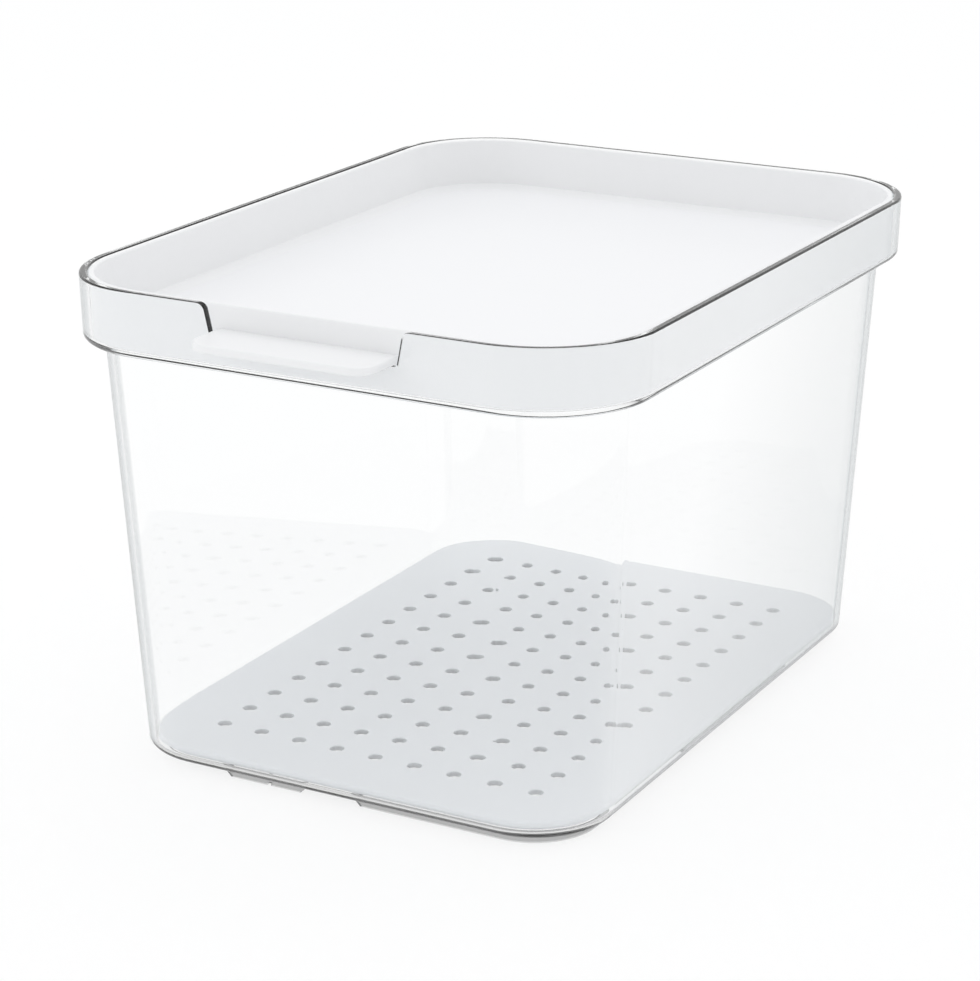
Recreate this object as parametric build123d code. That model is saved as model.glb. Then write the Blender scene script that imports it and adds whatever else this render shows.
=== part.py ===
from build123d import *
import math
import os

# Clear fridge organizer bin with a lift-off tray lid and a loose perforated drain tray.
# Millimetres. +Z is up, X runs across the short side, Y along the long side, and the pull tab
# points to -Y. The origin is on the shelf that the bin stands on, under the middle of its box.

# Overall size of the bin, measured over its rim
rim_width = 216.0
rim_length = 289.6
bin_height = 180.0
rim_corner = 40.5

# Collar: the upright band round the top, with a shelf inside that carries the lid
collar_height = 23.6
collar_draft = 1.6
rim_wall = 3.0
rim_bevel = 0.7
collar_foot_round = 3.0
shelf_thickness = 2.2

# Body: the drafted box below the collar, with nearly the same round on its corners all the way down
body_step = 8.2
body_corner = 32.0
body_corner_low = 30.0
body_draft = 2.88
wall = 2.2
floor_thickness = 2.2
floor_round_out = 4.6
floor_round_steps = 3
floor_bevel_in = 1.8
shelf_bevel = 0.6

# Feet: ribs under the floor, with open stretches between them
foot_height = 3.2
foot_rib = 2.4
foot_inset = 5.7
foot_end_slope = 45.0
foot_slit = 1.4
foot_slit_depth = 0.9
# Where a rib begins and ends, measured from the middle of its side
front_foot_far = 47.0
front_foot_near = 18.0
front_foot_slit = 31.0
corner_foot_on_front = 6.5
corner_foot_on_side = 93.0
side_foot_front = 30.0
side_foot_back = 57.0
side_foot_slit = 2.0

# Notch in the front of the collar, which lets the tab out
notch_side_gap = 0.6
notch_slope = 12.0
notch_top_round = 3.0
notch_floor_round = 1.2

# Lid: a shallow tray that nests inside the collar
seat_gap = 0.3
lid_side_gap = 0.4
lid_below_rim = 0.3
lid_panel = 1.8
lid_wall = 1.9
lid_inner_draft = 5.4
lid_lip_bevel = 0.5
band_width = 5.2
band_rise = 1.2

# Tab: the pull that stands out of the lid's front wall through the notch
tab_width = 69.4
tab_reach = 16.7
tab_thickness = 3.0
tab_below_rim = 8.8
tab_corner = 8.0
tab_bevel = 0.7

# Drain tray: a perforated plate on a skirt and pegs, loose on the floor
tray_height = 3.6
tray_plate = 2.0
tray_gap = 1.0
tray_bevel = 0.6
skirt_inset = 2.2
skirt_wall = 1.6
peg_radius = 2.0
hole_diameter = 5.2
round_sides = 10
hole_pitch_x = 15.92
hole_pitch_y = 16.75
hole_columns = 9
hole_rows = 13


def slope(angle, height):
    """How far a face with this draft moves sideways over a height."""
    return height * math.tan(math.radians(angle))


# Levels above the shelf that the bin stands on
collar_foot_z = bin_height - collar_height
shelf_z = collar_foot_z + shelf_thickness
floor_z = foot_height + floor_thickness
lid_bottom_z = shelf_z + seat_gap
lid_top_z = bin_height - lid_below_rim
panel_z = lid_bottom_z + lid_panel
band_z = panel_z + band_rise
tab_top_z = bin_height - tab_below_rim
tab_bottom_z = tab_top_z - tab_thickness
notch_floor_z = tab_bottom_z - seat_gap
tray_bottom_z = floor_z + seat_gap
tray_top_z = tray_bottom_z + tray_height
plate_bottom_z = tray_top_z - tray_plate

# Half sizes at the levels where each form starts
rim_x = rim_width / 2
rim_y = rim_length / 2
tab_front_y = rim_y + tab_reach
# The tab stands out at the front only, so the bin sits back from the middle of the whole box
bin_y = tab_reach / 2


def drafted(inset, corner, top_z, bottom_z, draft):
    """A block that follows the rim's outline, set in from it, and narrows downwards."""
    outline = RectangleRounded(2 * (rim_x - inset), 2 * (rim_y - inset), corner)
    return extrude(Plane.XY.offset(top_z) * outline, amount=top_z - bottom_z, dir=(0, 0, -1), taper=draft)


def edges_at(solid, level, tolerance=0.01):
    """The edges of a solid that lie flat at one level."""
    return solid.edges().filter_by_position(Axis.Z, level - tolerance, level + tolerance)


def body_inset(level):
    """How far the body's outer face stands in from the rim's outer edge at a level."""
    return body_step + slope(body_draft, collar_foot_z - level)


def body_corner_at(level):
    """The radius of the body's upright corners at a level."""
    share = (collar_foot_z - level) / (collar_foot_z - foot_height)
    return body_corner + share * (body_corner_low - body_corner)


def body_outline(level, offset=0.0):
    """The body's outline at a level, or one that stands in from it by an offset."""
    inset = body_inset(level) + offset
    corner = body_corner_at(level) - offset
    return Plane.XY.offset(level) * RectangleRounded(2 * (rim_x - inset), 2 * (rim_y - inset), corner)


def slab(x, y, z):
    """An upright block between two X values, two Y values and two levels."""
    size = [high - low for low, high in (x, y, z)]
    middle = [(high + low) / 2 for low, high in (x, y, z)]
    return Pos(*middle) * Box(*size)


def make_shell():
    """The clear shell without its notch and feet."""
    collar = drafted(0, rim_corner, bin_height, collar_foot_z, collar_draft)
    collar = fillet(edges_at(collar, collar_foot_z), collar_foot_round)
    turns = [math.pi / 2 * step / floor_round_steps for step in range(floor_round_steps, -1, -1)]
    outlines = [
        body_outline(
            foot_height + floor_round_out * (1 - math.sin(turn)),
            floor_round_out * (1 - math.cos(turn)),
        )
        for turn in turns
    ]
    body = loft(outlines + [body_outline(collar_foot_z)], ruled=True)
    shell = collar + body

    recess = drafted(rim_wall, rim_corner - rim_wall, bin_height, shelf_z, collar_draft)
    cavity = loft(
        [
            body_outline(floor_z, wall + floor_bevel_in),
            body_outline(floor_z + floor_bevel_in, wall),
            body_outline(shelf_z - shelf_bevel, wall),
            body_outline(shelf_z, wall - shelf_bevel),
        ],
        ruled=True,
    )
    return shell - recess - cavity


def cut_notch(shell):
    """Open the front of the collar for the tab, wider at the top, and round the rim."""
    half_floor = tab_width / 2 + notch_side_gap
    half_top = half_floor + slope(notch_slope, bin_height - notch_floor_z)
    outline = Polygon(
        (-half_floor, notch_floor_z),
        (half_floor, notch_floor_z),
        (half_top, bin_height),
        (-half_top, bin_height),
        align=None,
    )
    reach = 2 * (rim_wall + slope(collar_draft, collar_height))
    cutter = extrude(Plane.XZ.offset(rim_y - reach) * outline, amount=2 * reach)
    shell = shell - cutter

    def corners_at(level):
        front = shell.edges().filter_by(Axis.Y).filter_by_position(Axis.Y, -rim_y, -rim_y + reach)
        return front.filter_by_position(Axis.Z, level - 0.01, level + 0.01)

    shell = fillet(corners_at(bin_height), notch_top_round)
    shell = fillet(corners_at(notch_floor_z), notch_floor_round)
    return chamfer(edges_at(shell, bin_height), rim_bevel)


def foot_gap(side, low, high):
    """A cutter that opens the ring of ribs between two places, with sloping ends."""
    lean = slope(foot_end_slope, foot_height)
    profile = Polygon(
        (low, 0),
        (high, 0),
        (high - lean, foot_height),
        (low + lean, foot_height),
        align=None,
    )
    return extrude(side * profile, amount=3 * foot_rib)


def make_feet():
    """A ring of ribs with open stretches. One half of it is the other half turned half round."""
    inset = body_inset(foot_height) + foot_inset
    corner = body_corner_low - foot_inset
    outer_x = rim_x - inset
    outer_y = rim_y - inset
    ring = RectangleRounded(2 * outer_x, 2 * outer_y, corner)
    ring -= RectangleRounded(2 * (outer_x - foot_rib), 2 * (outer_y - foot_rib), corner - foot_rib)
    ribs = extrude(ring, amount=foot_height)

    front = Plane.XZ.offset(outer_y - 2 * foot_rib)
    right = Plane.YZ.offset(outer_x - 2 * foot_rib)
    straight_x = outer_x - corner
    straight_y = outer_y - corner
    cuts = [
        slab((-outer_x, -straight_x), (-outer_y, -straight_y), (0, foot_height)),
        foot_gap(front, -straight_x - corner, -front_foot_far),
        foot_gap(front, -front_foot_near, corner_foot_on_front),
        foot_gap(right, -corner_foot_on_side, -side_foot_front),
        foot_gap(right, side_foot_back, straight_y + corner),
        Pos(-front_foot_slit, foot_rib / 2 - outer_y) * Box(foot_slit, 2 * foot_rib, 2 * foot_slit_depth),
        Pos(outer_x - foot_rib / 2, side_foot_slit) * Box(2 * foot_rib, foot_slit, 2 * foot_slit_depth),
    ]
    for cut in cuts:
        ribs -= cut
        ribs -= Rot(0, 0, 180) * cut
    return ribs


def make_lid():
    """The lid: a drafted tray whose front wall carries the pull tab."""
    outer_inset = rim_wall + lid_side_gap + slope(collar_draft, lid_below_rim)
    outer_corner = rim_corner - outer_inset
    lid = drafted(outer_inset, outer_corner, lid_top_z, lid_bottom_z, collar_draft)

    inner_inset = outer_inset + lid_wall
    inner_corner = outer_corner - lid_wall
    recess = drafted(inner_inset, inner_corner, lid_top_z, band_z, lid_inner_draft)
    band_inset = inner_inset + slope(lid_inner_draft, lid_top_z - band_z)
    band_corner = inner_corner - (band_inset - inner_inset)
    wide = RectangleRounded(2 * (rim_x - band_inset), 2 * (rim_y - band_inset), band_corner)
    narrow = RectangleRounded(
        2 * (rim_x - band_inset - band_width),
        2 * (rim_y - band_inset - band_width),
        band_corner - band_width,
    )
    band = loft([Plane.XY.offset(panel_z) * narrow, Plane.XY.offset(band_z) * wide], ruled=True)
    lid = lid - recess - band
    lid = chamfer(edges_at(lid, lid_top_z), lid_lip_bevel)

    root_y = outer_inset + lid_wall / 2 + slope(collar_draft, lid_top_z - tab_bottom_z)
    tab = slab(
        (-tab_width / 2, tab_width / 2),
        (-tab_front_y, -rim_y + root_y),
        (tab_bottom_z, tab_top_z),
    )
    front_corners = tab.edges().filter_by(Axis.Z).group_by(Axis.Y)[0]
    tab = fillet(front_corners, tab_corner)
    ends = tab.faces().filter_by(Axis.Z)
    rims = [edge for face in ends for edge in face.edges() if edge.center().Y < -rim_y + root_y - 0.01]
    tab = chamfer(rims, tab_bevel)
    return lid + tab


def make_tray():
    """The drain tray: a plate with a grid of holes, on a skirt and pegs.

    The holes and pegs are drawn with a few flat sides each, because there are so many of them.
    """
    edge_inset = body_inset(plate_bottom_z) + wall + tray_gap
    corner = body_corner_at(plate_bottom_z) - wall - tray_gap
    plate = drafted(edge_inset, corner, tray_top_z, plate_bottom_z, 0)
    plate = chamfer(edges_at(plate, tray_top_z), tray_bevel)

    skirt_outer = edge_inset + skirt_inset
    skirt_corner = corner - skirt_inset
    skirt = drafted(skirt_outer, skirt_corner, plate_bottom_z, tray_bottom_z, 0)
    skirt -= drafted(skirt_outer + skirt_wall, skirt_corner - skirt_wall, plate_bottom_z, tray_bottom_z, 0)

    peg_x = hole_pitch_x * ((hole_columns // 2) // 2 + 0.5)
    peg_y = hole_pitch_y * ((hole_rows // 2) // 2 + 0.5)
    peg_end = Plane.XY.offset(tray_bottom_z) * RegularPolygon(peg_radius, round_sides)
    peg = extrude(peg_end, amount=tray_height - tray_plate)
    tray = plate + skirt
    for x in (-peg_x, peg_x):
        for y in (-peg_y, hole_pitch_y / 2, peg_y):
            tray += Pos(x, y, 0) * peg

    grid = GridLocations(hole_pitch_x, hole_pitch_y, hole_columns, hole_rows)
    hole = RegularPolygon(hole_diameter / 2, round_sides)
    holes = Sketch() + [place * hole for place in grid]
    return tray - extrude(Plane.XY.offset(plate_bottom_z) * holes, amount=tray_plate)


bin_shell = cut_notch(make_shell()) + make_feet()
pieces = {"bin": bin_shell, "lid": make_lid(), "drain_tray": make_tray()}

os.makedirs("parts", exist_ok=True)
for name, solid in pieces.items():
    export_step(Pos(0, bin_y, 0) * solid, f"parts/{name}.step")
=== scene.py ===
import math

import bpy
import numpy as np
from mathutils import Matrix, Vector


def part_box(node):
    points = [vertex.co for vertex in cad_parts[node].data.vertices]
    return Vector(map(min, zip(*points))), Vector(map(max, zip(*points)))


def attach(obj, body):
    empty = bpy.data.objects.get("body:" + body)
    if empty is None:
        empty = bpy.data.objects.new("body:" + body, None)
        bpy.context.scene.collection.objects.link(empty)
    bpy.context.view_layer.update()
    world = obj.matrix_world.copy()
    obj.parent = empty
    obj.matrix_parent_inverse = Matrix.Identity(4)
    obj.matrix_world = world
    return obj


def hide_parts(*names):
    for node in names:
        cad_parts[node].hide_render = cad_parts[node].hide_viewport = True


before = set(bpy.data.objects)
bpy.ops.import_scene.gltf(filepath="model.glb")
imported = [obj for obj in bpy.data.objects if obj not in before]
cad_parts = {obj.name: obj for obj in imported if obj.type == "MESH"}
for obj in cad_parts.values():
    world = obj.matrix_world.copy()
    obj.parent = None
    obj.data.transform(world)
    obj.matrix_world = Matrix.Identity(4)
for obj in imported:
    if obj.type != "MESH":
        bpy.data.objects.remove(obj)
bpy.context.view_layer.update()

# %% [markdown]
# A clear fridge bin with a white lid
# This file dresses a storage bin for a fridge: a clear moulded shell, a white lid that drops
# into its collar, and a white tray with drain holes that lies loose on its floor. All three are
# injection mouldings, so every face is drafted a little, every edge has a small round, and every
# wall has an even thickness. The lesson shows how to get such shapes from a few profiles that
# are carried round one outline, and how to light and shade a clear plastic so that it reads.
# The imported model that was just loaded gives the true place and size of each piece.

MM = 0.001
bin_low, bin_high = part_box("bin")
bin_y = (bin_low.y + bin_high.y) / 2 / MM
height = bin_high.z / MM

collar_draft = 1.6
collar_height = 23.6
rim_wall = 3.0
rim_round = 0.8
rim_corner = 40.5
shelf_thickness = 2.2
collar_foot_round = 3.0


def slope(angle, rise):
    """How far a face with this draft moves sideways over a height: the height times tan(angle)."""
    return rise * math.tan(math.radians(angle))


rim_x = (bin_high.x - bin_low.x) / 2 / MM + slope(collar_draft, rim_round)
rim_y = (bin_high.y - bin_low.y) / 2 / MM + slope(collar_draft, rim_round)
collar_foot = height - collar_height
shelf = collar_foot + shelf_thickness
print(f"rim {2 * rim_x:.1f} by {2 * rim_y:.1f} mm, {height:.1f} mm high, centre at y {bin_y:.2f} mm")

# %% [markdown]
# One outline for everything
# Seen from above, every level of every piece is a rectangle with rounded corners. It could be
# drawn as a curve and swept, but then the columns of the mesh fall where Blender puts them.
# Working the outline out as an array puts them where the notch and the feet need them.
# The four sides have their own list of stations, and the corners are quarter circles.

# %% The outline and the rounded path
CORNER_STEPS = 14


def outline(half_x, half_y, corner, sides):
    """Rounded rectangles, one per row, anticlockwise from the front's left end.

    half_x, half_y and corner are columns of numbers, one row each. A side's points keep their
    stations along the side. A corner's points are centre + corner * (cos a, sin a) for a quarter
    turn, with the centre one corner radius in from both sides.
    """
    half_x, half_y, corner = (np.atleast_2d(v).reshape(-1, 1) for v in (half_x, half_y, corner))
    turn = np.radians(np.linspace(0, 90, CORNER_STEPS + 1))[None, :]
    over, along = corner * np.sin(turn), corner * np.cos(turn)
    in_x, in_y = half_x - corner, half_y - corner
    front, right, back, left = (np.asarray(side)[None, :] + 0 * half_x for side in sides)
    x = [front, in_x + over, half_x + 0 * right, in_x + along, back, -in_x - over]
    y = [-half_y + 0 * front, -in_y - along, right, in_y + over, half_y + 0 * back, in_y + along]
    x += [-half_x + 0 * left, -in_x - along]
    y += [left, -in_y - over]
    return np.concatenate(x, axis=1), np.concatenate(y, axis=1)


def rounded_path(corners, radii, steps=4):
    """A path through corners, with a circular arc of the given radius at each one.

    The first two numbers of a corner are its place, and any others are carried along in
    proportion. A tangent point lies radius * tan(turn / 2) from its corner. A support point
    stands a third of the radius further out, so that shading stays flat on the straight parts.
    """
    corners = np.asarray(corners, float)
    path = [corners[0]]
    for before, here, after, radius in zip(corners, corners[1:], corners[2:], radii[1:]):
        into, out = here - before, after - here
        length_in, length_out = np.linalg.norm(into[:2]), np.linalg.norm(out[:2])
        into, out = into / length_in, out / length_out
        cross = into[0] * out[1] - into[1] * out[0]
        turn = math.atan2(cross, into[:2] @ out[:2])
        reach = radius * math.tan(abs(turn) / 2)
        share = np.linspace(0, 1, steps + 1)[:, None]
        start, end = here - into * reach, here + out * reach
        side = math.copysign(1, turn) * np.array([-into[1], into[0]])
        centre = start[:2] + radius * side
        angle = share * turn
        spoke = start[:2] - centre
        swung = np.cos(angle) * spoke + np.sin(angle) * np.array([-spoke[1], spoke[0]])
        arc = start + share * (end - start)
        arc[:, :2] = centre + swung
        path += [start - into * radius / 3, *arc, end + out * radius / 3]
    return np.array(path + [corners[-1]])


def fill(stations, step):
    """Sorted stations with even ones added, so that no two are further apart than about a step."""
    stations = np.unique(np.round(stations, 4))
    parts = [
        np.linspace(low, high, max(1, math.ceil((high - low) / step)), endpoint=False)
        for low, high in zip(stations, stations[1:])
    ]
    return np.concatenate(parts + [stations[-1:]])


def sweep_faces(rows, columns, first):
    """Faces of a closed sweep: quads between rows, and one flat face on the first and last row."""
    row, column = np.meshgrid(np.arange(rows - 1), np.arange(columns), indexing="ij")
    beside = (column + 1) % columns
    near, far = row * columns, (row + 1) * columns
    quads = np.stack([near + column, far + column, far + beside, near + beside], axis=-1)
    caps = [list(range(columns)), list(range((rows - 1) * columns, rows * columns))[::-1]]
    return (quads.reshape(-1, 4) + first).tolist() + [[index + first for index in cap] for cap in caps]


def add_piece(name, points, faces, material, sharp=35):
    """A mesh object from points in millimetres round the bin's middle, smooth where it turns gently."""
    points = np.asarray(points, float) + (0, bin_y, 0)
    mesh = bpy.data.meshes.new(name)
    mesh.from_pydata((points * MM).tolist(), [], faces)
    mesh.validate()
    mesh.polygons.foreach_set("use_smooth", np.ones(len(mesh.polygons), bool))
    mesh.set_sharp_from_angle(angle=math.radians(sharp))
    mesh.materials.append(material)
    piece = bpy.data.objects.new(name, mesh)
    bpy.context.scene.collection.objects.link(piece)
    print(f"{name}: {len(mesh.polygons)} faces, {signed_volume(mesh):.1f} cubic centimetres")
    return piece


def signed_volume(mesh):
    """The volume that a closed mesh holds, positive if its faces point outwards."""
    mesh.calc_loop_triangles()
    corners = np.empty(len(mesh.loop_triangles) * 3, np.int32)
    mesh.loop_triangles.foreach_get("vertices", corners)
    points = np.empty(len(mesh.vertices) * 3)
    mesh.vertices.foreach_get("co", points)
    a, b, c = np.moveaxis(points.reshape(-1, 3)[corners.reshape(-1, 3)], 1, 0)
    return float(np.einsum("ij,ij->i", a, np.cross(b, c)).sum() / 6) * 1e6


# %% [markdown]
# Shader maths as plain expressions
# A material is a graph of nodes, and long graphs are hard to read as code. A small class wraps a
# socket so that a line such as 0.3 + 0.1 * grain builds the Math nodes by itself, and one
# method makes any other node from its type, its settings and what goes into its sockets.

# %% Node helpers
class Wire:
    """An output socket that adds and multiplies like a number, and | takes the larger of two."""

    def __init__(self, tree, socket):
        self.tree, self.socket = tree, socket

    def _math(self, operation, first, second):
        return self.tree.node("ShaderNodeMath", {"operation": operation}, [first, second])

    def __add__(self, other):
        return self._math("ADD", self, other)

    def __mul__(self, other):
        return self._math("MULTIPLY", self, other)

    __radd__ = __add__
    __rmul__ = __mul__

    def __or__(self, other):
        return self._math("MAXIMUM", self, other)


class Tree:
    """Makes nodes in one node tree."""

    def __init__(self, owner):
        owner.use_nodes = True
        self.nodes, self.links = owner.node_tree.nodes, owner.node_tree.links
        self.nodes.clear()

    def node(self, kind, settings=None, inputs=None, output=0):
        """A node of this kind. Settings are set first, then inputs by name or place."""
        made = self.nodes.new(kind)
        for key, value in (settings or {}).items():
            setattr(made, key, value)
        pairs = inputs.items() if isinstance(inputs, dict) else enumerate(inputs or [])
        for key, value in pairs:
            if isinstance(value, Wire):
                self.links.new(value.socket, made.inputs[key])
            else:
                made.inputs[key].default_value = value
        return Wire(self, made.outputs[output]) if made.outputs else made

    def ramp(self, factor, stops):
        """A Color Ramp with stops of (place, grey)."""
        made = self.nodes.new("ShaderNodeValToRGB")
        elements = made.color_ramp.elements
        for index, (place, grey) in enumerate(stops):
            element = elements[index] if index < 2 else elements.new(place)
            element.position = place
            element.color = (grey, grey, grey, 1)
        self.links.new(factor.socket, made.inputs[0])
        return Wire(self, made.outputs[0])


def object_noise(tree, scale, detail=2.0, stretch=(1, 1, 1)):
    """Noise that is fixed to the piece, with this many waves to a metre."""
    place = tree.node("ShaderNodeTexCoord", output="Object")
    place = tree.node("ShaderNodeMapping", inputs={"Vector": place, "Scale": stretch})
    return tree.node("ShaderNodeTexNoise", inputs={"Vector": place, "Scale": scale, "Detail": detail})


# %% [markdown]
# The clear plastic
# The shell is polished clear styrene. Glass shaders suit it, with the plastic's own index of
# refraction. Lamps have to reach the tray inside, so a ray that only asks whether a lamp is in
# sight passes straight through. Moulded walls are never quite flat: slow ripples run up from
# the gate in the floor, and a faint bump bends what is seen through them a little. Two marks of
# painted shade darken its colour. The bottom of the shell, the floor and the feet, is painted
# darker as the shade under the bin, but not on faces that look up or down. Faces seen at a
# grazing angle are painted dark grey, except where they look up, as the dark lines that clear
# edges pick up from their surroundings.

# %% Clear plastic material
shaded_base_height = 0.0078


def clear_plastic():
    material = bpy.data.materials.new("clear_plastic")
    tree = Tree(material)
    ripple = object_noise(tree, 16.0, 1.0, stretch=(1, 1, 0.35))
    normal = tree.node("ShaderNodeBump", inputs={"Height": ripple, "Strength": 0.12, "Distance": 0.0004})
    facing = tree.node("ShaderNodeLayerWeight", inputs={"Blend": 0.5}, output="Facing")
    upward = tree.node("ShaderNodeTexCoord", output="Normal")
    upward = tree.node("ShaderNodeSeparateXYZ", inputs=[upward], output="Z")
    # Painted shade: faces seen at a grazing angle, except those that look up, get the dark grey A
    depth = tree.ramp(facing, [(0.0, 1.0), (0.625, 1.0), (0.69, 0.35), (0.82, 0.0)]) | upward
    # A is the painted shade's dark grey for the edges, B the plastic's own faint colour
    tint_and_painted_shade = tree.node(
        "ShaderNodeMix",
        {"data_type": "RGBA"},
        {"Factor": depth, "A": (0.36, 0.40, 0.42, 1), "B": (0.996, 0.999, 1.0, 1)},
        output=2,
    )
    place = tree.node("ShaderNodeTexCoord", output="Object")
    level = tree.node("ShaderNodeSeparateXYZ", inputs=[place], output="Z")
    # Painted shade: the bottom of the shell is coloured darker, except on faces that look up or down
    painted_base_shade = tree.ramp(level * (1 / shaded_base_height), [(0.0, 0.42), (0.7, 0.48), (1.0, 1.0)])
    painted_base_shade = painted_base_shade | upward * upward
    tint_and_painted_shade = tree.node(
        "ShaderNodeMix",
        {"data_type": "RGBA", "blend_type": "MULTIPLY"},
        {"Factor": 1.0, "A": tint_and_painted_shade, "B": painted_base_shade},
        output=2,
    )
    plastic = tree.node(
        "ShaderNodeBsdfPrincipled",
        inputs={
            "Base Color": tint_and_painted_shade,
            "Roughness": 0.0,
            "IOR": 1.57,
            "Specular IOR Level": 0.4,
            "Transmission Weight": 1.0,
            "Normal": normal,
        },
    )
    clear = tree.node("ShaderNodeBsdfTransparent", inputs={"Color": (0.985, 0.99, 0.992, 1)})
    surface = plastic
    for ray in ("Is Shadow Ray", "Is Diffuse Ray"):
        passes = tree.node("ShaderNodeLightPath", output=ray)
        surface = tree.node("ShaderNodeMixShader", inputs=[passes, surface, clear])
    tree.node("ShaderNodeOutputMaterial", inputs={"Surface": surface})
    return material


# %% [markdown]
# The white plastics
# The lid and the tray are satin polypropylene. Up close such a moulding has a fine spark-eroded
# grain from the steel of its tool, and slow changes of gloss where it cooled unevenly. Both
# come from noise on the piece's own coordinates. The tray is a cooler and darker white. The
# lid's flat panel is glossier than its walls, and its paler colour is painted light, for the
# top light that falls on its upward face.

# %% White plastic material
def white_plastic(name, pale, shade, roughness, grain_depth):
    material = bpy.data.materials.new(name)
    tree = Tree(material)
    cloud = object_noise(tree, 35.0, 3.0)
    grain = object_noise(tree, 2600.0, 2.0)
    colour = tree.node(
        "ShaderNodeMix",
        {"data_type": "RGBA"},
        {"Factor": cloud, "A": (*shade, 1), "B": (*pale, 1)},
        output=2,
    )
    normal = tree.node("ShaderNodeBump", inputs={"Height": grain, "Strength": 0.35, "Distance": grain_depth})
    plastic = tree.node(
        "ShaderNodeBsdfPrincipled",
        inputs={
            "Base Color": colour,
            "Roughness": roughness + 0.08 * cloud + 0.05 * grain,
            "IOR": 1.49,
            "Normal": normal,
        },
    )
    tree.node("ShaderNodeOutputMaterial", inputs={"Surface": plastic})
    return material


clear = clear_plastic()
lid_white = white_plastic("lid_plastic", (0.885, 0.888, 0.892), (0.865, 0.869, 0.874), 0.34, 0.00003)
# Painted light: the panel's paler colour stands for the top light on its upward face; its gloss is its own
lit_panel_white = white_plastic("lid_panel_lit_plastic", (0.89, 0.892, 0.902), (0.875, 0.878, 0.889), 0.28, 0.00002)
tray_white = white_plastic("tray_plastic", (0.80, 0.812, 0.825), (0.78, 0.792, 0.806), 0.38, 0.00003)
print("materials:", clear.name, lid_white.name, lit_panel_white.name, tray_white.name)

# %% [markdown]
# Stations along the sides
# The shell's mesh needs columns in two places. At the front the collar dips to let the tab out,
# and under the floor the ring of feet is broken by open stretches. The notch is one path in the
# plane of the front: down a steep side, along its floor and up again, with rounded turns. Each
# column then looks up its rim level and the direction into the plastic on that path.

# %% The notch and the feet along each side
lid_low, lid_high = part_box("lid")
tab_width = 69.4
tab_thickness = 3.0
tab_below_rim = 8.8
tab_top = height - tab_below_rim
seat_gap = 0.3
notch_floor = tab_top - tab_thickness - seat_gap
tab_side_gap = 0.6
notch_draft = 12.0
notch_top_round = 3.0
notch_foot_round = 1.2
notch_half = tab_width / 2 + tab_side_gap
notch_half_top = notch_half + slope(notch_draft, height - notch_floor)
side_end = 58.0
long_side_end = 97.0
notch_path = rounded_path(
    [
        (-side_end, height),
        (-notch_half_top, height),
        (-notch_half, notch_floor),
        (notch_half, notch_floor),
        (notch_half_top, height),
        (side_end, height),
    ],
    [0, notch_top_round, notch_foot_round, notch_foot_round, notch_top_round],
    steps=8,
)
print(f"notch floor at {notch_floor:.1f} mm, {2 * notch_half:.1f} mm wide")
print(f"the notch is {2 * notch_half_top:.1f} mm wide at the rim")

foot = 3.2
lean = foot
slit = 0.7
slit_depth = 0.9
cut = 0.02


def slit_at(middle):
    """The four points of a thin slit across a rib: down, along and up again."""
    places = (middle - slit - cut, middle - slit, middle + slit, middle + slit + cut)
    return list(zip(places, (0, slit_depth, slit_depth, 0)))


front_feet = np.array(
    [(-47 - lean, foot), (-47, 0), *slit_at(-31), (-18, 0), (-18 + lean, foot), (6.5 - lean, foot), (6.5, 0)]
)
right_feet = np.array(
    [(-93, 0), (-93 + lean, foot), (-30 - lean, foot), (-30, 0), *slit_at(2), (57, 0), (57 + lean, foot)]
)
front_x = fill([*notch_path[:, 0], *front_feet[:, 0], *-front_feet[:, 0]], 9.0)
right_y = fill([-long_side_end, *right_feet[:, 0], *-right_feet[:, 0], long_side_end], 14.0)
sides = [front_x, right_y, front_x[::-1], right_y[::-1]]
corner_points = CORNER_STEPS + 1
foot_level = np.concatenate(
    [
        np.interp(front_x, *front_feet.T),
        np.zeros(corner_points),
        np.interp(right_y, *right_feet.T),
        np.full(corner_points, foot),
        np.interp(-front_x[::-1], *front_feet.T),
        np.zeros(corner_points),
        np.interp(-right_y[::-1], *right_feet.T),
        np.full(corner_points, foot),
    ]
)
columns = len(foot_level)
print(f"{columns} columns round the shell, {len(front_x)} of them on each short side")

# %% [markdown]
# The shell's profile
# A moulded shell is one wall that turns over: up the inside, across the shelf that carries the
# lid, over the rim and down the outside to the feet. It could be a box with a Solidify modifier,
# but the collar, the shelf and the rounds differ inside and out, so the profile is drawn as one
# path instead. Its third number is the corner radius of that level.

# %% Make the clear shell
body_step = 8.2
body_corner = 32.0
body_corner_low = 30.0
body_draft = 2.88
wall = 2.2
floor = foot + 2.2
floor_round = 4.6
cove_round = 0.5
rib_inset = 5.7
cap_reach = 12.0


def body_inset(level):
    """How far the body's outer face stands in from the rim at a level."""
    return body_step + slope(body_draft, collar_foot - level)


def body_point(level, offset=0.0):
    """A profile point on the body's outer face, or one that stands in from it by an offset."""
    share = (collar_foot - level) / (collar_foot - foot)
    corner = body_corner + share * (body_corner_low - body_corner)
    return (body_inset(level) + offset, level, corner - offset)


def collar_point(level, across=0.0):
    """A profile point on the collar's outer face, or one that stands in from it."""
    inset = slope(collar_draft, height - level) + across
    return (inset, level, rim_corner - inset)


inside = rounded_path(
    [
        body_point(floor, wall + cap_reach),
        body_point(floor, wall),
        body_point(shelf, wall),
        collar_point(shelf, rim_wall),
        collar_point(shelf + 4, rim_wall),
    ],
    [0, 1.8, 0.7, 0.5],
)
outside = rounded_path(
    [
        collar_point(collar_foot + 6),
        collar_point(collar_foot),
        body_point(collar_foot),
        body_point(foot),
        body_point(foot, rib_inset - 0.1),
    ],
    [0, collar_foot_round, cove_round, floor_round],
    steps=6,
)
rim = rounded_path(
    [(rim_wall, 1.5), (rim_wall, 0), (0, 0), (0, 1.5)],
    [0, rim_round, rim_round],
)

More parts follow.
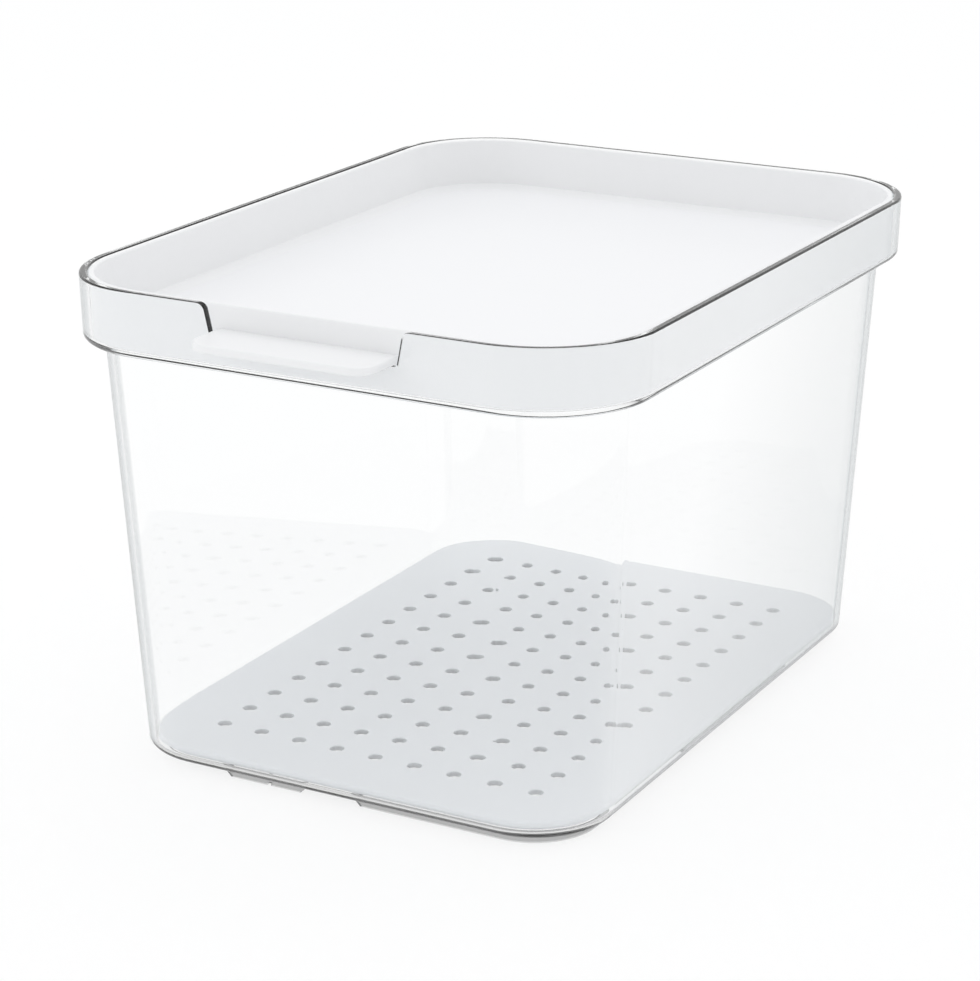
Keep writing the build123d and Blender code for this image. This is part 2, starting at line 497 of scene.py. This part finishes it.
foot_inset = body_inset(foot) + rib_inset
foot_corner = body_corner_low - rib_inset
foot_rib = 2.4
rib = rounded_path([(0, 0), (0.15, 1), (foot_rib - 0.15, 1), (foot_rib, 0)], [0, 0.12, 0.12], steps=2)


def shell_points():
    """The shell as rows of points: the inside, the rim, the outside and the ring of feet.

    A rim row at a depth d below the edge lies at edge + d * inward, where edge is the notch's
    path and inward is its normal into the plastic, so the rim's round follows the notch.
    """
    x, y = outline(rim_x - inside[:, 0], rim_y - inside[:, 0], inside[:, 2], sides)
    rows = [np.stack([x, y, inside[:, 1:2] + 0 * x], axis=-1)]

    across, depth = rim[:, :1], rim[:, 1:]
    inset = across + slope(collar_draft, depth)
    x, y = outline(rim_x - inset, rim_y - inset, rim_corner - inset, sides)
    z = height - depth + 0 * x
    along = np.gradient(notch_path, axis=0)
    normal = np.stack([along[:, 1], -along[:, 0]], axis=1)
    normal /= np.linalg.norm(normal, axis=1)[:, None]
    edge = np.interp(front_x, *notch_path.T)
    inward = [np.interp(front_x, notch_path[:, 0], normal[:, axis]) for axis in (0, 1)]
    inward /= np.linalg.norm(inward, axis=0)
    front = slice(0, len(front_x))
    z[:, front] = edge + depth * inward[1]
    x[:, front] = front_x + depth * inward[0]
    y[:, front] = -rim_y + across + slope(collar_draft, height - z[:, front])
    rows.append(np.stack([x, y, z], axis=-1))

    x, y = outline(rim_x - outside[:, 0], rim_y - outside[:, 0], outside[:, 2], sides)
    rows.append(np.stack([x, y, outside[:, 1:2] + 0 * x], axis=-1))

    inset = foot_inset + rib[:, :1]
    x, y = outline(rim_x - inset, rim_y - inset, foot_corner - rib[:, :1], sides)
    rows.append(np.stack([x, y, foot + rib[:, 1:] * (foot_level - foot)], axis=-1))

    inset = foot_inset + foot_rib + 1.0
    x, y = outline(rim_x - inset, rim_y - inset, foot_corner - foot_rib - 1.0, sides)
    rows.append(np.stack([x, y, foot + 0 * x], axis=-1))
    return np.concatenate(rows)


shell = shell_points()
clear_shell = add_piece("clear_shell", shell.reshape(-1, 3), sweep_faces(len(shell), columns, 0), clear)
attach(clear_shell, "bin")
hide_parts("bin")

# %% [markdown]
# The lid
# The lid is a shallow tray: a flat panel, a narrow sloping band round it, and a drafted wall
# that stands up inside the collar to just below the rim. It is one closed profile again, from
# the middle of the panel over the lip to the middle of the underside.

# %% Make the lid
lid_wall = 1.9
lid_bottom = shelf + seat_gap
lid_top = lid_high.z / MM
panel = lid_bottom + 1.8
band = panel + 1.2
band_width = 5.2
lid_inner_draft = 5.4
lid_side_gap = 0.4


def lid_point(level, across=0.0, draft=collar_draft):
    """A profile point on the lid's wall: the outer face, or the inner one with its own draft."""
    outer = rim_wall + lid_side_gap + slope(collar_draft, height - lid_top)
    inset = outer + across + slope(draft, lid_top - level)
    return (inset, level, rim_corner - inset)


band_foot = lid_point(band, lid_wall, lid_inner_draft)
band_end = (band_foot[0] + band_width, panel, band_foot[2] - band_width)
lid_profile = rounded_path(
    [
        (band_end[0] + cap_reach, panel, band_end[2] - cap_reach),
        band_end,
        band_foot,
        lid_point(lid_top, lid_wall, lid_inner_draft),
        lid_point(lid_top),
        lid_point(lid_bottom),
        lid_point(lid_bottom, cap_reach),
    ],
    [0, 0.4, 0.4, 0.6, 0.6, 0.6],
)
lid_sides = [np.linspace(-side_end, side_end, 9), np.linspace(-long_side_end, long_side_end, 13)]
lid_sides += [side[::-1] for side in lid_sides]


def swept(profile, sides):
    """Rows of points of a profile of (inset, level, corner) carried round the outline."""
    x, y = outline(rim_x - profile[:, 0], rim_y - profile[:, 0], profile[:, 2], sides)
    return np.stack([x, y, profile[:, 1:2] + 0 * x], axis=-1)


lid_rows = swept(lid_profile, lid_sides)
lid = add_piece("tray_lid", lid_rows.reshape(-1, 3), sweep_faces(*lid_rows.shape[:2], 0), lid_white)
# The panel's faces take the paler copy, whose extra paleness is painted light for its top face
lid.data.materials.append(lit_panel_white)
middles = np.empty(3 * len(lid.data.polygons))
lid.data.polygons.foreach_get("center", middles)
on_panel = np.abs(middles[2::3] / MM - panel) < 0.02
lid.data.polygons.foreach_set("material_index", on_panel.astype(np.int32))
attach(lid, "lid")
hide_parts("lid")

# %% [markdown]
# The pull tab
# The tab is a rounded plate that stands out of the lid's front wall through the notch. A plate
# with a rounded edge all round is a stack of outlines: each level of the edge's round is the
# same outline, drawn a little larger or smaller. Its back end is buried in the lid's wall.

# %% Make the tab
tab_front = -(bin_y - lid_low.y / MM)
tab_round = 0.9
tab_corner = 8.0
tab_root = -rim_y + rim_wall + lid_side_gap + lid_wall / 2 + slope(collar_draft, lid_top - tab_top)


def tab_points():
    """A plate's rows: half a turn of its edge's round, from the top to the underside.

    At an angle a the outline is offset inwards by r (1 - sin a), and its level is
    r (1 - cos a) below the top, with the straight part of the edge between the two rounds.
    """
    turn = np.radians(np.linspace(0, 90, 5))
    inward = tab_round * (1 - np.sin(turn))
    drop = tab_round * (1 - np.cos(turn))
    inward = np.concatenate([[tab_round * 1.6], inward, inward[::-1], [tab_round * 1.6]])
    level = np.concatenate([[0], drop, tab_thickness - drop[::-1], [tab_thickness]])
    angle = np.radians(np.linspace(0, 90, 13))[None, :]
    half = (tab_width / 2 - inward)[:, None]
    front = (tab_front + inward)[:, None]
    corner = (tab_corner - inward)[:, None]
    right_x = half - corner + corner * np.sin(angle)
    right_y = front + corner - corner * np.cos(angle)
    x = np.concatenate([-half, -right_x[:, ::-1], right_x, half], axis=1)
    y = np.concatenate([tab_root + 0 * half, right_y[:, ::-1], right_y, tab_root + 0 * half], axis=1)
    return np.stack([x, y, (tab_top - level)[:, None] + 0 * x], axis=-1)


tab_rows = tab_points()
pull_tab = add_piece("pull_tab", tab_rows.reshape(-1, 3), sweep_faces(*tab_rows.shape[:2], 0), lid_white)
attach(pull_tab, "lid")
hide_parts("lid")

# %% [markdown]
# The drain tray
# The tray is a plate with a regular grid of round holes. Cutting them with booleans leaves long
# thin faces, so each hole gets a cell of its own: loops of points that run from the cell's
# square border to the hole's edge, over its small round and down its wall. All cells are the
# same array, moved about, and neighbours share their border. A band joins them to the rim.

# %% Make the drain tray
tray_gap = 1.0
tray_plate = 2.0
tray_bottom = floor + seat_gap
tray_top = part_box("drain_tray")[1].z / MM
plate_bottom = tray_top - tray_plate
tray_round = 0.8
hole = 2.6
hole_round = 0.35
pitch_x = 15.92
pitch_y = 16.75
across_count = 9
along_count = 13
border = 6


def cell_border():
    """The border of one cell, anticlockwise from its front left corner, with even steps."""
    share = np.arange(border) / border * 2 - 1
    x = np.concatenate([share, np.ones(border), -share, -np.ones(border)])
    y = np.concatenate([-np.ones(border), share, np.ones(border), -share])
    return np.stack([x * pitch_x / 2, y * pitch_y / 2], axis=1)


def cell_rows():
    """One cell as rows: its border on top, the hole from top to underside, its border below.

    A hole's row at radius r has the border's own directions, so spokes stay straight.
    """
    rounds = rounded_path(
        [(hole + 1.2, 0), (hole, 0), (hole, tray_plate), (hole + 1.2, tray_plate)],
        [0, hole_round, 0.2],
        steps=3,
    )
    border_xy = cell_border()
    spoke = border_xy / np.linalg.norm(border_xy, axis=1)[:, None]
    circle = rounds[:, None, :1] * spoke
    depth = rounds[:, None, 1:] + 0 * circle[:, :, :1]
    hole_rows = np.concatenate([circle, depth], axis=-1)
    top = np.concatenate([border_xy, 0 * border_xy[:, :1]], axis=1)
    return np.concatenate([top[None], hole_rows, top[None] + (0, 0, tray_plate)])


def grid_faces(rows, columns, first, flip=False):
    """Quads between rows that close on themselves, with no end faces."""
    quads = np.array(sweep_faces(rows, columns, 0)[: (rows - 1) * columns])
    return (quads[:, ::-1] if flip else quads) + first


def tray_mesh():
    """The tray's points and faces: the cells of the holes, and the band and rim round them."""
    cell = cell_rows()
    rows, count = cell.shape[:2]
    centre_x = (np.arange(across_count) - (across_count - 1) / 2) * pitch_x
    centre_y = (np.arange(along_count) - (along_count - 1) / 2) * pitch_y
    centres = np.stack(np.meshgrid(centre_x, centre_y), axis=-1).reshape(-1, 2)
    cells = cell.reshape(-1, 3)[None] * (1, 1, -1) + np.pad(centres, ((0, 0), (0, 1)))[:, None]
    cells[..., 2] += tray_top
    cell_quads = grid_faces(rows, count, 0, flip=True)
    starts = np.arange(len(centres)) * rows * count
    faces = (cell_quads[None] + starts[:, None, None]).reshape(-1, 4)

    block_x, block_y = across_count * pitch_x / 2, along_count * pitch_y / 2
    steps_x, steps_y = across_count * border, along_count * border
    share_x, share_y = np.arange(steps_x) / steps_x * 2 - 1, np.arange(steps_y) / steps_y * 2 - 1
    block = np.concatenate(
        [
            np.stack([share_x * block_x, -block_y + 0 * share_x], axis=1),
            np.stack([block_x + 0 * share_y, share_y * block_y], axis=1),
            np.stack([-share_x * block_x, block_y + 0 * share_x], axis=1),
            np.stack([-block_x + 0 * share_y, -share_y * block_y], axis=1),
        ]
    )
    edge = body_point(plate_bottom, wall + tray_gap)
    skirt = 2.2
    rim_path = rounded_path(
        [
            (2.6, tray_top),
            (0, tray_top),
            (0, plate_bottom),
            (skirt, plate_bottom),
            (skirt, tray_bottom),
            (skirt + 1.6, tray_bottom),
            (skirt + 1.6, plate_bottom),
            (skirt + 3.6, plate_bottom),
        ],
        [0, tray_round, 0.4, 0.3, 0.3, 0.3, 0.3],
        steps=3,
    )
    band_rows = [np.column_stack([block, np.full(len(block), tray_top)])]
    for inset, level in rim_path:
        loop = loop_like(block, edge[0] + inset, edge[2] - inset)
        band_rows.append(np.column_stack([loop, np.full(len(loop), level)]))
    band_rows.append(np.column_stack([block, np.full(len(block), plate_bottom)]))
    band_points = np.stack(band_rows)
    band_quads = grid_faces(*band_points.shape[:2], cells.shape[0] * cells.shape[1])
    points = [cells.reshape(-1, 3), band_points.reshape(-1, 3)]
    quads = [faces, band_quads]
    return np.concatenate(points), np.concatenate(quads).tolist()


def loop_like(block, inset, corner):
    """Points of the outline at an inset, at the same share of each side as the block's points.

    The sides are taken from the middle of one corner to the middle of the next, by the length
    along the outline.
    """
    dense = [np.linspace(-1, 1, 3)] * 2 + [np.linspace(1, -1, 3)] * 2
    x, y = outline(rim_x - inset, rim_y - inset, corner, dense)
    x, y = x[0], y[0]
    # Start in the middle of the front left corner, which is the last quarter circle
    start = len(x) - corner_points + CORNER_STEPS // 2
    x, y = np.roll(x, -start), np.roll(y, -start)
    x, y = np.append(x, x[0]), np.append(y, y[0])
    length = np.concatenate([[0], np.cumsum(np.hypot(np.diff(x), np.diff(y)))])
    quarter = CORNER_STEPS + 1 + 3
    marks = length[[0, quarter, 2 * quarter, 3 * quarter, 4 * quarter]]
    counts = [across_count * border, along_count * border] * 2
    at = np.concatenate(
        [np.linspace(low, high, count, endpoint=False) for low, high, count in zip(marks, marks[1:], counts)]
    )
    return np.stack([np.interp(at, length, x), np.interp(at, length, y)], axis=1)


def merge(points, faces):
    """Welds points that share a place to a micrometre, by sorting their rounded coordinates."""
    _, index, back = np.unique(np.round(points, 3), axis=0, return_index=True, return_inverse=True)
    back = back.ravel()
    return points[index], back[np.asarray(faces)].tolist()


tray_points, tray_faces = merge(*tray_mesh())
drain_tray = add_piece("perforated_tray", tray_points, tray_faces, tray_white)
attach(drain_tray, "drain_tray")
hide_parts("drain_tray")

# %% [markdown]
# Pegs under the tray
# Six short pegs hold the middle of the plate up, so that it doesn't drum or sag. Each is a
# lathe-turned shape: a profile of radius and level, turned round its own axis.

# %% Make the pegs
peg_radius = 2.0


def peg_rows():
    """One peg from its root in the plate to its foot: rows of (r cos a, r sin a, level)."""
    root = plate_bottom + 0.6
    profile = rounded_path(
        [(0.4, root), (peg_radius, root), (peg_radius, tray_bottom), (0.4, tray_bottom)],
        [0, 0.2, 0.4],
        steps=3,
    )
    angle = np.linspace(0, 2 * np.pi, 24, endpoint=False)
    x, y = profile[:, :1] * np.cos(angle), profile[:, :1] * np.sin(angle)
    return np.stack([x, y, profile[:, 1:] + 0 * x], axis=-1)


peg = peg_rows()
peg_points, peg_faces = [], []
for x in (-2.5 * pitch_x, 2.5 * pitch_x):
    for y in (-3.5 * pitch_y, 0.5 * pitch_y, 3.5 * pitch_y):
        peg_faces += sweep_faces(*peg.shape[:2], len(peg_points) * peg.shape[0] * peg.shape[1])
        peg_points.append(peg.reshape(-1, 3) + (x, y, 0))
pegs = add_piece("tray_pegs", np.concatenate(peg_points), peg_faces, tray_white)
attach(pegs, "drain_tray")
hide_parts("drain_tray")

# %% [markdown]
# Floor, light and camera
# A clear thing is drawn by what it bends into view. On a plain white table under a white sky it
# vanishes, so photographers leave darker cards out of sight and let the edges pick them up.
# Here the sky is white near the horizon, where the background is, and darker overhead for rays
# that pass through the plastic. The white pieces are lit by soft lamps at a plain level, and the
# even light of the sky is a little stronger from behind, which sets the panel off from the band.

# %% Floor
floor_mesh = bpy.data.meshes.new("floor")
floor_mesh.from_pydata([(-9, -9, 0), (9, -9, 0), (9, 9, 0), (-9, 9, 0)], [], [(0, 1, 2, 3)])
floor_object = bpy.data.objects.new("floor", floor_mesh)
bpy.context.scene.collection.objects.link(floor_object)
floor_material = bpy.data.materials.new("floor_white")
tree = Tree(floor_material)
seen = 0.8 * tree.node("ShaderNodeLightPath", output="Is Camera Ray")
seen = seen + 0.35 * tree.node("ShaderNodeLightPath", output="Is Transmission Ray")
seen = seen + 0.8 * tree.node("ShaderNodeLightPath", output="Is Glossy Ray")
paint = tree.node("ShaderNodeBsdfDiffuse", inputs={"Color": (0.95, 0.95, 0.95, 1)})
glow = tree.node("ShaderNodeEmission", inputs={"Color": (1, 1, 1, 1), "Strength": 1.0})
surface = tree.node("ShaderNodeMixShader", inputs=[seen, paint, glow])
tree.node("ShaderNodeOutputMaterial", inputs={"Surface": surface})
floor_mesh.materials.append(floor_material)

# %% World and lamps
world = bpy.data.worlds.new("studio")
bpy.context.scene.world = world
tree = Tree(world)
seen = tree.node("ShaderNodeLightPath", output="Is Camera Ray")
bent = tree.node("ShaderNodeLightPath", output="Is Transmission Ray")
bent = bent | tree.node("ShaderNodeLightPath", output="Is Glossy Ray")
direction = tree.node("ShaderNodeTexCoord", output="Generated")
up = tree.node("ShaderNodeSeparateXYZ", inputs=[direction], output="Z")
toward_back = (-0.35, 0.75, 0.56)
back = tree.node(
    "ShaderNodeVectorMath", {"operation": "DOT_PRODUCT"}, [direction, toward_back], output="Value"
)
card = tree.ramp(up, [(0.0, 1.0), (0.30, 1.0), (0.55, 0.5), (1.0, 0.6)])
strength = 0.97 + 0.13 * back
soft = tree.node(
    "ShaderNodeBackground", inputs={"Color": (0.985, 0.99, 1, 1), "Strength": strength}
)
through = tree.node("ShaderNodeBackground", inputs={"Color": card, "Strength": 1.0})
white = tree.node("ShaderNodeBackground", inputs={"Color": (1, 1, 1, 1), "Strength": 1.0})
lit = tree.node("ShaderNodeMixShader", inputs=[bent, soft, through])
sky = tree.node("ShaderNodeMixShader", inputs=[seen, lit, white])
tree.node("ShaderNodeOutputWorld", inputs={"Surface": sky})


def softbox(name, place, target, size, power):
    """A square area lamp that faces a target."""
    lamp = bpy.data.lights.new(name, "AREA")
    lamp.shape = "SQUARE"
    lamp.size = size
    lamp.energy = power
    made = bpy.data.objects.new(name, lamp)
    made.location = place
    made.rotation_euler = (Vector(target) - Vector(place)).to_track_quat("-Z", "Y").to_euler()
    bpy.context.scene.collection.objects.link(made)
    made.visible_camera = False
    made.visible_transmission = False
    print(f"{name}: {power} W, {size} m")
    return made


softbox("top_softbox", (0.1, 0.5, 1.7), (0, 0, 0.1), 1.2, 2.0)
softbox("left_softbox", (-1.4, -0.7, 1.0), (0, 0, 0.1), 1.0, 1.5)

# %% Camera
camera_data = bpy.data.cameras.new("camera")
camera_data.lens = 106.72
camera_data.sensor_width = 36.0
camera_data.sensor_fit = "AUTO"
camera = bpy.data.objects.new("camera", camera_data)
camera_place = (0.48978, -0.90476, 0.42338)
camera.location = camera_place
azimuth, elevation, roll = (math.radians(angle) for angle in (28.654, 18.391, -0.05))
forward = Vector(
    (-math.sin(azimuth) * math.cos(elevation), math.cos(azimuth) * math.cos(elevation), -math.sin(elevation))
)
look = forward.to_track_quat("-Z", "Y").to_matrix().to_4x4()
camera.rotation_euler = (look @ Matrix.Rotation(roll, 4, "Z")).to_euler()
bpy.context.scene.collection.objects.link(camera)
bpy.context.scene.camera = camera
bpy.context.scene.view_settings.view_transform = "Standard"
